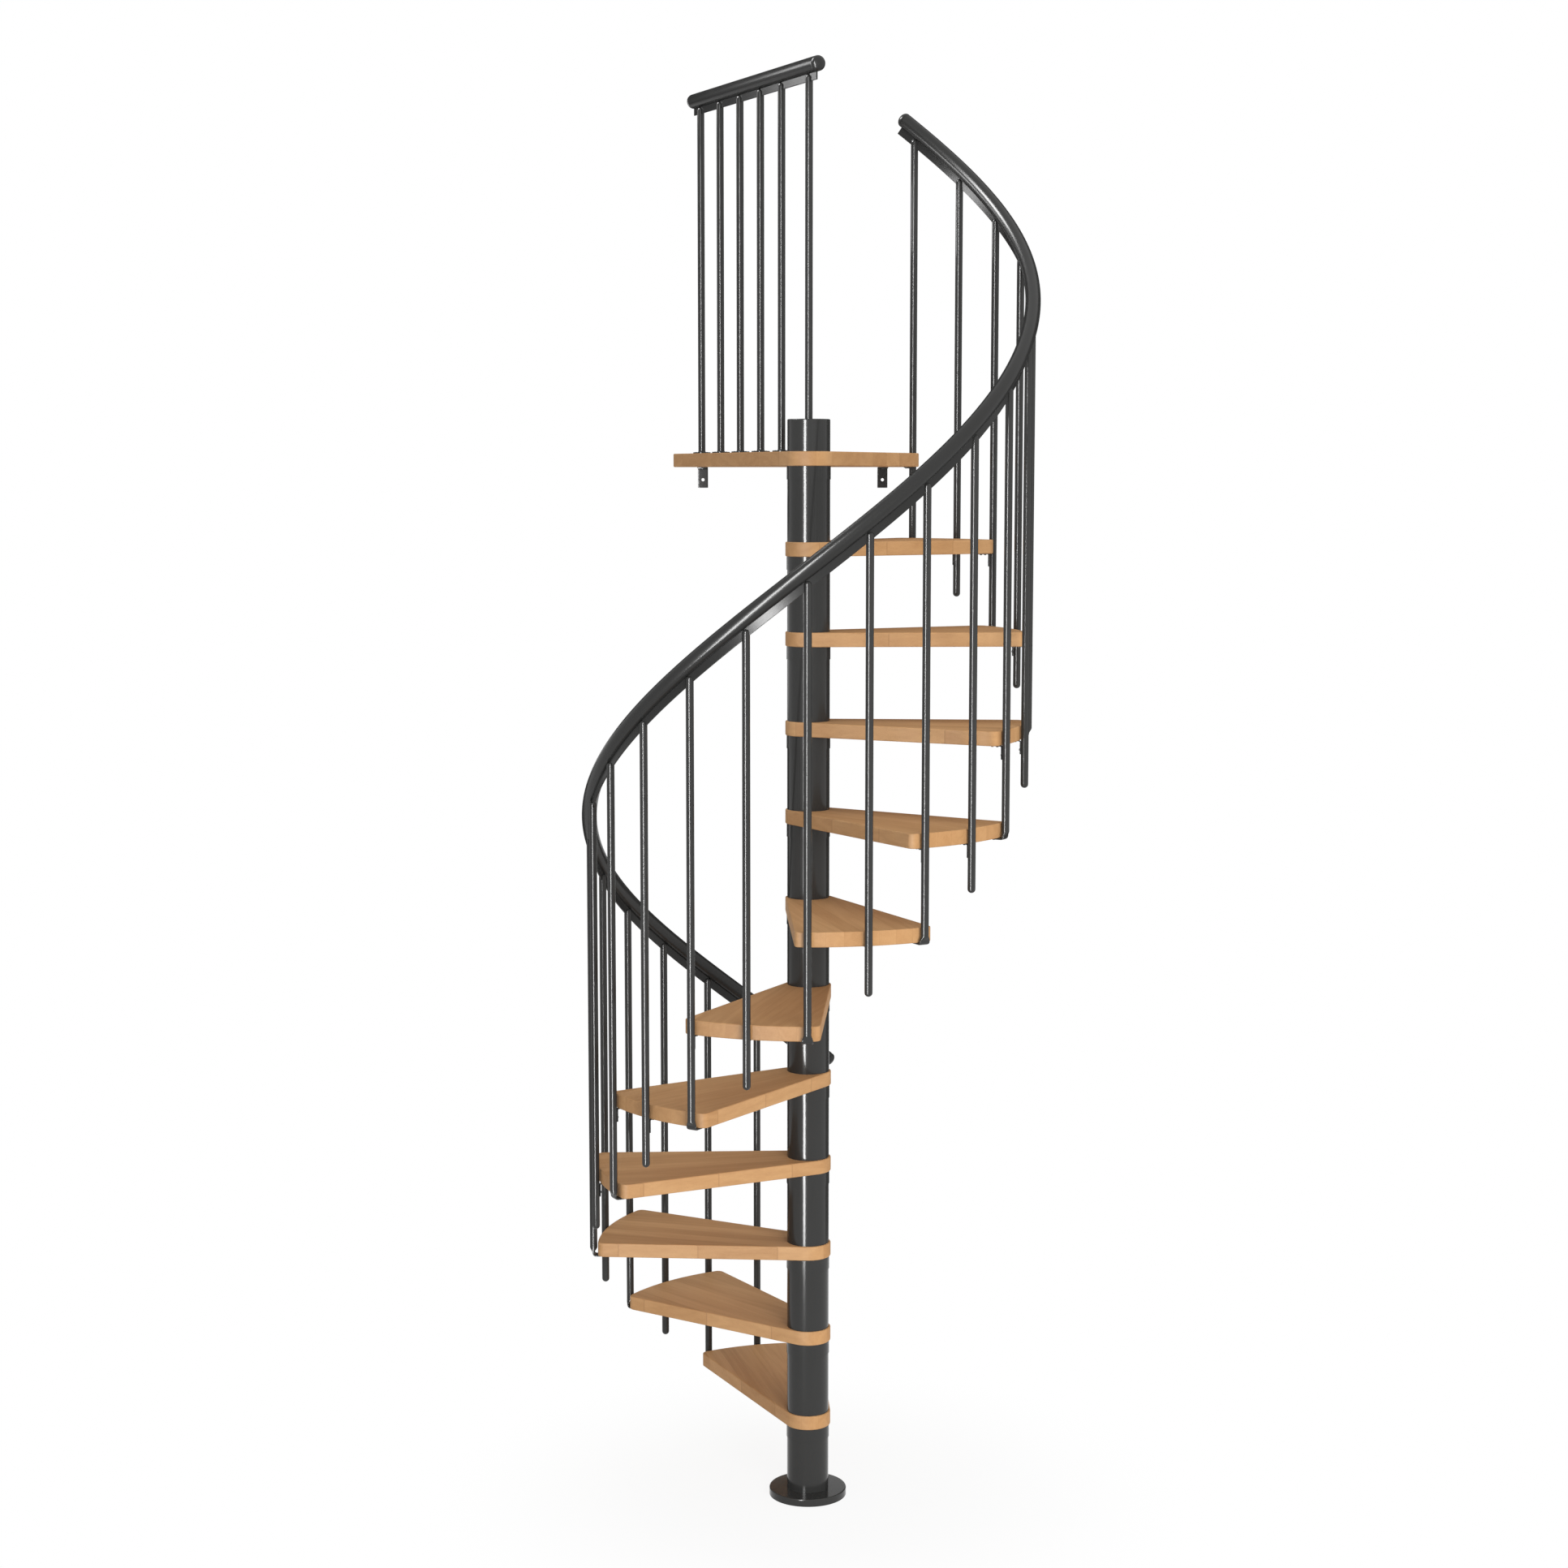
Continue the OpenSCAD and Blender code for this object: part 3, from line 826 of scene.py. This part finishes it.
plugs = gather("handrail_plugs", [plug_mesh(RAIL_START, -1), plug_mesh(RAIL_END, 1)])
settle(rail, rail_skin, "anthracite_rail", "handrail")
settle(link("handrail_plugs", plugs), rail_skin, "anthracite_rail", "handrail")

# %% The flat band under it
BAND_ROUND, BAND_LAP, BAND_SHARP = 0.8 * MM, 0.2 * MM, 12


def rounded_box(width, low, high):
    """A bar's section, each corner rounded by an arc of four points."""
    side, bottom, top = width / 2 - BAND_ROUND, low + BAND_ROUND, high - BAND_ROUND
    corners = [(side, top, 0), (-side, top, 90), (-side, bottom, 180), (side, bottom, 270)]
    turns = [(x, y, math.radians(a + b)) for x, y, a in corners for b in (0, 30, 60, 90)]
    return [(x + BAND_ROUND * math.cos(t), y + BAND_ROUND * math.sin(t)) for x, y, t in turns]


band = sweep("handrail_strip", rounded_box(BAND_T, RAIL_R - BAND_LAP, RAIL_R + BAND_H), strip_skin)
band.data.shade_smooth()
band.data.set_sharp_from_angle(angle=math.radians(BAND_SHARP))
print("the band starts at", round(min(v.co.z for v in band.data.vertices), 3), "m")
settle(band, strip_skin, "anthracite_steel", "handrail_band")

# %% [markdown]
# ## The landing's handrail
# The short rail is straight, so rings along its axis are enough: dome, plug with its seam, rail, and
# the same again. The band under it is one bar with rounded edges.

# %% Straight rail and bar
GUARD_IN, GUARD_OUT = 45 * MM, 42 * MM
guard_end = GUARD_FIRST + (GUARD_COUNT - 1) * GUARD_PITCH + GUARD_OUT
along_guard = (Matrix.Translation((0, 0, LANDING_Z + GUARD_H)) @ Matrix.Rotation(GUARD_ANGLE, 4, "Z")
               @ Matrix.Rotation(math.pi / 2, 4, "Y"))
straight_profile = [(r, -GUARD_IN - z) for r, z in reversed(PLUG)] + [(r, guard_end + z) for r, z in PLUG]
straight_rail = turned("landing_rail", straight_profile, RAIL_SIDES)
straight_rail.transform(along_guard)
settle(link("landing_rail", straight_rail), rail_skin, "anthracite_rail", "landing_handrail")
bar_section = rounded_box(BAND_T, -RAIL_R - BAND_H, -RAIL_R)
bar_rings = [[Vector((-y, x, z)) for x, y in bar_section] for z in (-GUARD_IN, guard_end)]
bar = loft("landing_strip", bar_rings, sharp=BAND_SHARP)
bar.transform(along_guard)
settle(link("landing_strip", bar), strip_skin, "anthracite_steel", "landing_band")

# %% [markdown]
# ## Brackets
# Small angles of bent strip hold each tube to the tread it passes, and two larger ones hang under the
# landing's back edge, with a hole for the wall anchor. A strip is flat rings along a bent path, so the
# pressed rings of the feet serve again, with squarer corners.

# %% Bent strips
STRIP_SHAPE, STRIP_SIDES, STRIP_STEPS = 9, 36, 6
END_TURNS = [math.radians(a) for a in (0, 25, 50, 70, 90)]


def bent_strip(name, thick, wide, leg, back_x, round_end):
    """An angle: one leg hangs with its outer face at back_x, the other runs inwards under z = 0."""
    inner = thick
    centre = Vector((back_x - thick - inner, 0, -thick - inner))
    middle_r = inner + thick / 2
    rings = []

    def add(at, heading, narrow=0.0):
        rings.append(pressed(at, heading, thick / 2, wide / 2 - narrow, STRIP_SHAPE, STRIP_SIDES))

    ends = [(round_end * (1 - math.sin(q)), round_end * (1 - math.cos(q))) for q in END_TURNS]
    for narrow, far in ends:
        add(Vector((back_x - thick / 2, 0, -leg + far)), UPRIGHT, narrow)
    for i in range(STRIP_STEPS + 1):
        q = i * math.pi / 2 / STRIP_STEPS
        add(centre + Vector((middle_r * math.cos(q), 0, middle_r * math.sin(q))),
            Vector((-math.sin(q), 0, math.cos(q))))
    for narrow, far in reversed(ends):
        add(Vector((back_x - leg + far, 0, -thick / 2)), -ALONG, narrow)
    return loft(name, rings)


CLIP_T, CLIP_W, CLIP_LEG, CLIP_ROUND = 2.5 * MM, 10 * MM, 36 * MM, 2.5 * MM
CLIP_FACE = -TUBE_R - SEAT
EDGE_TURN = STEP / 2


def clip_mesh():
    mesh = bent_strip("clip", CLIP_T, CLIP_W, CLIP_LEG, CLIP_FACE, CLIP_ROUND)
    mesh.transform(Matrix.Translation((0, 0, -TREAD_T)))
    return mesh


middle_clips = climb("middle_clips", clip_mesh(), coat)
settle(middle_clips, coat, "anthracite_steel", "tread_brackets")
edge_clips = climb("edge_clips", clip_mesh(), coat, -EDGE_TURN, TREADS + 1)
settle(edge_clips, coat, "anthracite_steel", "tread_brackets")

# %% Wall angles with a hole
ANCHOR_T, ANCHOR_W, ANCHOR_LEG, ANCHOR_ROUND = 4 * MM, 29 * MM, 59 * MM, 1.5 * MM
ANCHOR_DROP, HOLE_R, HOLE_SIDES, DRILL_REACH = 36 * MM, 4.5 * MM, 32, 10 * MM
ANCHOR_MIDDLE, ANCHOR_SPREAD = -40 * MM, 258 * MM
ANCHORS = (ANCHOR_MIDDLE - ANCHOR_SPREAD, ANCHOR_MIDDLE + ANCHOR_SPREAD)


def wall_angle(x):
    bent = bent_strip("wall_angle", ANCHOR_T, ANCHOR_W, ANCHOR_LEG, 0, ANCHOR_ROUND)
    drill = turned("drill", [(HOLE_R, -DRILL_REACH), (HOLE_R, DRILL_REACH)], HOLE_SIDES)
    drill.transform(Matrix.Translation((0, 0, -ANCHOR_DROP)) @ Matrix.Rotation(math.pi / 2, 4, "Y"))
    holed = cut_away(bent, drill)
    under = Matrix.Translation((x, LANDING_BACK, LANDING_Z - TREAD_T))
    holed.transform(under @ Matrix.Rotation(math.pi / 2, 4, "Z"))
    return holed


wall_mesh = gather("wall_angles", [wall_angle(x) for x in ANCHORS])
settle(link("wall_angles", wall_mesh), coat, "anthracite_steel", "wall_brackets")

# %% [markdown]
# ## Screw heads
# A pan head with a six-lobed recess is six rings of few points, because a hundred of them are needed.
# They go through the same two patterns as the pieces that they hold. The two wall angles stand alone,
# so their screws are placed one by one.

# %% Pan heads
PAN_SIDES = 24
PAN_HEAD = [(1, -0.6 * MM), (1, 0.9 * MM), (0.9, 1.6 * MM), (0.68, 2.1 * MM)]
LOBES, LOBE_DEPTH = 6, 0.16
RECESS, RECESS_TOP, RECESS_FLOOR = 0.4, 2.25 * MM, 0.9 * MM


def screw_head(radius):
    """A head that sits on z = 0. RECESS and the first numbers of PAN_HEAD are shares of its radius."""
    lobes = [1 + LOBE_DEPTH * math.cos(LOBES * 2 * math.pi * i / PAN_SIDES) for i in range(PAN_SIDES)]
    recess = list(zip(circle(RECESS * radius, 0, PAN_SIDES), lobes))
    rings = [circle(radius * share, z, PAN_SIDES) for share, z in PAN_HEAD]
    rings += [[Vector((p.x * f, p.y * f, z)) for p, f in recess] for z in (RECESS_TOP, RECESS_FLOOR)]
    return loft("head", rings)


def screw_mesh(places, radius):
    """Screw heads at (position, outward direction) pairs, as one mesh."""
    return gather("screws", [aimed(screw_head(radius), at, out) for at, out in places])


print("a screw head of", len(PAN_HEAD) + 2, "rings with", PAN_SIDES, "points each")

# %% Where the screws sit
CLIP_SCREW_R, FOOT_SCREW_R, PLATE_SCREW_R, WALL_SCREW_R = 3.4 * MM, 4.2 * MM, 3.2 * MM, 5 * MM
CLIP_SCREWS_IN, CLIP_SCREW_DROP, FOOT_SCREW_IN = (15 * MM, 29 * MM), 24 * MM, 33 * MM
PLATE_SCREW_RING, PLATE_SCREW_SINK, PLATE_SCREW_TURNS = 18 * MM, 1.6 * MM, (90, 210, 330)
WALL_SCREWS_IN = (22 * MM, 44 * MM)
clip_places = [((CLIP_FACE - far, 0, -TREAD_T - CLIP_T), -UPRIGHT) for far in CLIP_SCREWS_IN]
clip_places.append(((CLIP_FACE - CLIP_T, 0, -TREAD_T - CLIP_SCREW_DROP), -ALONG))
foot_places = [((-FOOT_SCREW_IN, 0, -TREAD_T - FOOT_T), -UPRIGHT)]
plate_ring = [polar(PLATE_SCREW_RING, math.radians(turn)) for turn in PLATE_SCREW_TURNS]
plate_places = [((*p, PLATE_T - PLATE_SCREW_SINK), UPRIGHT) for p in plate_ring]
wall_z = LANDING_Z - TREAD_T - ANCHOR_T
wall_places = [((x, LANDING_BACK - far, wall_z), -UPRIGHT) for x in ANCHORS for far in WALL_SCREWS_IN]


def fasten(piece):
    settle(piece, screw_finish, "anthracite_steel")


fasten(climb("middle_clip_screws", screw_mesh(clip_places, CLIP_SCREW_R), screw_finish))
fasten(climb("edge_clip_screws", screw_mesh(clip_places, CLIP_SCREW_R), screw_finish, -EDGE_TURN, TREADS + 1))
fasten(climb("foot_screws", screw_mesh(foot_places, FOOT_SCREW_R), screw_finish, STEP / 2))
fasten(stand("plate_screws", screw_mesh(plate_places, PLATE_SCREW_R), screw_finish))
fasten(link("wall_screws", screw_mesh(wall_places, WALL_SCREW_R)))

# %% [markdown]
# ## The post
# Sleeves, head, pole and flange are plain turned steel whose solids already have the right shape, so
# they stay and only take the paint.

# %% Paint the post
painted = ["floor_flange", "centre_pole", "post_head"] + ["sleeve_%02d" % k for k in range(1, TREADS + 2)]
for name in painted:
    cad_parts[name].material_slots[0].material = coat
print("painted", len(painted), "solids of the post")

# %% [markdown]
# ## Floor and background
# The picture is a studio one: a white room with a pale floor. The room and the floor are white where
# they are seen or mirrored, and softer where they light, so the background stays clean and the wood
# isn't washed out. Near the post a tenth of the floor is plain matt, which keeps a faint shadow.

# %% Floor
FLOOR_R = 2.4
WHITE = (1, 1, 1, 1)
MATT_DARK, MATT_LIGHT = (0.86, 0.86, 0.86, 1), (0.9, 0.9, 0.9, 1)
SHADOW_NEAR, SHADOW_FAR, SHADOW_SHARE = 0.25, 1.1, 0.1


def seen_or_mirrored(net):
    """One for a ray from the eye or off a gloss, nought for a ray that gathers light."""
    path = net.node("ShaderNodeLightPath")
    seen = path["Is Camera Ray"].math("MAXIMUM", path["Is Glossy Ray"])
    return seen.math("MAXIMUM", path["Is Transmission Ray"])


def studio_floor():
    material, net = start_material("studio_floor")
    place = net.node("ShaderNodeTexCoord")["Object"]
    pale = net.noise(place, 3, 2)
    reach = net.node("ShaderNodeVectorMath", {"operation": "LENGTH"}, {0: place})["Value"]
    far = net.ramp(reach, SHADOW_NEAR, SHADOW_FAR)
    share = seen_or_mirrored(net) * (far * SHADOW_SHARE + (1 - SHADOW_SHARE))
    matt = net.node("ShaderNodeBsdfDiffuse", {}, {"Color": net.mix(pale, MATT_DARK, MATT_LIGHT)})
    glow = net.node("ShaderNodeEmission", {}, {"Color": WHITE, "Strength": 1.0})
    mixed = net.node("ShaderNodeMixShader", {}, {0: share, 1: matt["BSDF"], 2: glow[0]})
    net.node("ShaderNodeOutputMaterial", {}, {"Surface": mixed[0]})
    return material


floor_mesh = bpy.data.meshes.new("floor")
disc = bmesh.new()
bmesh.ops.create_circle(disc, cap_ends=True, segments=96, radius=FLOOR_R)
disc.to_mesh(floor_mesh)
disc.free()
floor_mesh.materials.append(studio_floor())
floor = link("floor", floor_mesh)
print("floor of", FLOOR_R, "m radius")

# %% World
world = bpy.data.worlds.new("studio")
scene.world = world
world.use_nodes = True
world.node_tree.nodes.clear()
room = Net(world.node_tree)
white = room.node("ShaderNodeBackground", {}, {"Color": WHITE, "Strength": 1.0})
soft = room.node("ShaderNodeBackground", {}, {"Color": WHITE, "Strength": 0.5})
both = room.node("ShaderNodeMixShader", {}, {0: seen_or_mirrored(room), 1: soft[0], 2: white[0]})
room.node("ShaderNodeOutputWorld", {}, {"Surface": both[0]})
print("world: white to the eye, grey to the light")

# %% [markdown]
# ## Lamps
# Two broad lamps, in front and above, light the wood and are never mirrored. The others do the
# reverse: they shine only in reflections, so they draw lines on the steel without burning the wood.
# A tall narrow lamp at the left draws the upright streak on the post and the tubes. Three small ones
# serve the rails: one for the upper end of the helix, one for the band below that end, and one for
# the landing's rail. A narrow beam keeps the first two of them off the other pieces.

# %% Lamps
def lamp(name, place, target, size, watts, beam=180, mirrored=True):
    """An area lamp that no camera sees. It is either mirrored or lights what is matt, never both."""
    light = bpy.data.lights.new(name, "AREA")
    light.shape = "RECTANGLE"
    light.size, light.size_y = size
    light.energy = watts
    light.spread = math.radians(beam)
    made = bpy.data.objects.new(name, light)
    made.location = place
    made.rotation_euler = (Vector(target) - Vector(place)).to_track_quat("-Z", "Y").to_euler()
    made.visible_camera = False
    made.visible_glossy = mirrored
    made.visible_diffuse = not mirrored
    scene.collection.objects.link(made)


STRIP_WAY, STRIP_FAR, STRIP_Z = math.radians(20.4), 3.2, 2.1
strip_place = (-STRIP_FAR * math.sin(STRIP_WAY), -STRIP_FAR * math.cos(STRIP_WAY), STRIP_Z)
lamp("front_lamp", (2.9, -7.4, 2.9), (0, 0, 1.7), (4.0, 4.0), 425, mirrored=False)
lamp("top_lamp", (0.4, -0.5, 6.5), (0, 0, 1.5), (4.0, 4.0), 60, mirrored=False)
lamp("strip_lamp", strip_place, (0, 0, STRIP_Z), (0.58, 4.9), 470)
lamp("side_lamp", (-1.29, 0.36, 4.83), (0.42, 0.36, 3.45), (0.85, 1.0), 9.5, beam=50)
lamp("low_lamp", (-0.05, 0.42, 3.54), (0.45, 0.39, 3.48), (0.12, 0.2), 0.22, beam=70)
lamp("kicker_lamp", (-0.95, 0.70, 4.08), (0, 0.02, 3.83), (0.15, 0.38), 1.6)

# %% [markdown]
# ## Black flag
# Behind the stair hangs a black flag, as in any studio that shows glossy tubes on white. No camera
# sees it. Only reflections do: it draws the dark lines along both sides of every tube. It is sewn from
# plain panels and left open in three places, so that the steel mirrors the white room there: low in
# the middle for the flange, at the left for the underside of the landing's rail, and above that for
# the thin upper line of the helical rail.

# %% Flag of black velvet
FLAG_Y = 3.4
FLAG_LEFT, FLAG_RIGHT, FLAG_LOW, FLAG_HIGH = -4.2, 8.0, -2.0, 7.0
MIDDLE_LEFT, MIDDLE_RIGHT, MIDDLE_TOP = -1.1, 1.3, 1.45
NOTCH_RIGHT, NOTCH_LOW, NOTCH_HIGH = -1.6, 1.75, 2.5
WINDOW_LEFT, WINDOW_LOW, WINDOW_HIGH = -1.8, 2.7, 4.4
PANELS = [
    (MIDDLE_RIGHT, FLAG_RIGHT, FLAG_LOW, FLAG_HIGH),
    (MIDDLE_LEFT, MIDDLE_RIGHT, MIDDLE_TOP, FLAG_HIGH),
    (FLAG_LEFT, MIDDLE_LEFT, FLAG_LOW, NOTCH_LOW),
    (NOTCH_RIGHT, MIDDLE_LEFT, NOTCH_LOW, NOTCH_HIGH),
    (FLAG_LEFT, MIDDLE_LEFT, NOTCH_HIGH, WINDOW_LOW),
    (FLAG_LEFT, WINDOW_LEFT, WINDOW_LOW, FLAG_HIGH),
    (WINDOW_LEFT, MIDDLE_LEFT, WINDOW_HIGH, FLAG_HIGH),
]
flag_points = []
for left, right, low, high in PANELS:
    flag_points += [(left, FLAG_Y, low), (right, FLAG_Y, low), (right, FLAG_Y, high), (left, FLAG_Y, high)]
flag_mesh = bpy.data.meshes.new("black_flag")
flag_mesh.from_pydata(flag_points, [], [tuple(range(4 * i, 4 * i + 4)) for i in range(len(PANELS))])


def black_velvet():
    material, net = start_material("black_velvet")
    nap = net.noise(net.node("ShaderNodeTexCoord")["Object"], 60, 2)
    colour = net.mix(nap, (0.07, 0.07, 0.07, 1), (0.1, 0.1, 0.1, 1))
    close_material(net, {"Base Color": colour, "Roughness": 1.0, "Specular IOR Level": 0.0})
    return material


flag_mesh.materials.append(black_velvet())
flag = link("black_flag", flag_mesh)
flag.visible_camera = flag.visible_diffuse = flag.visible_transmission = flag.visible_shadow = False
print("flag of", len(PANELS), "panels")
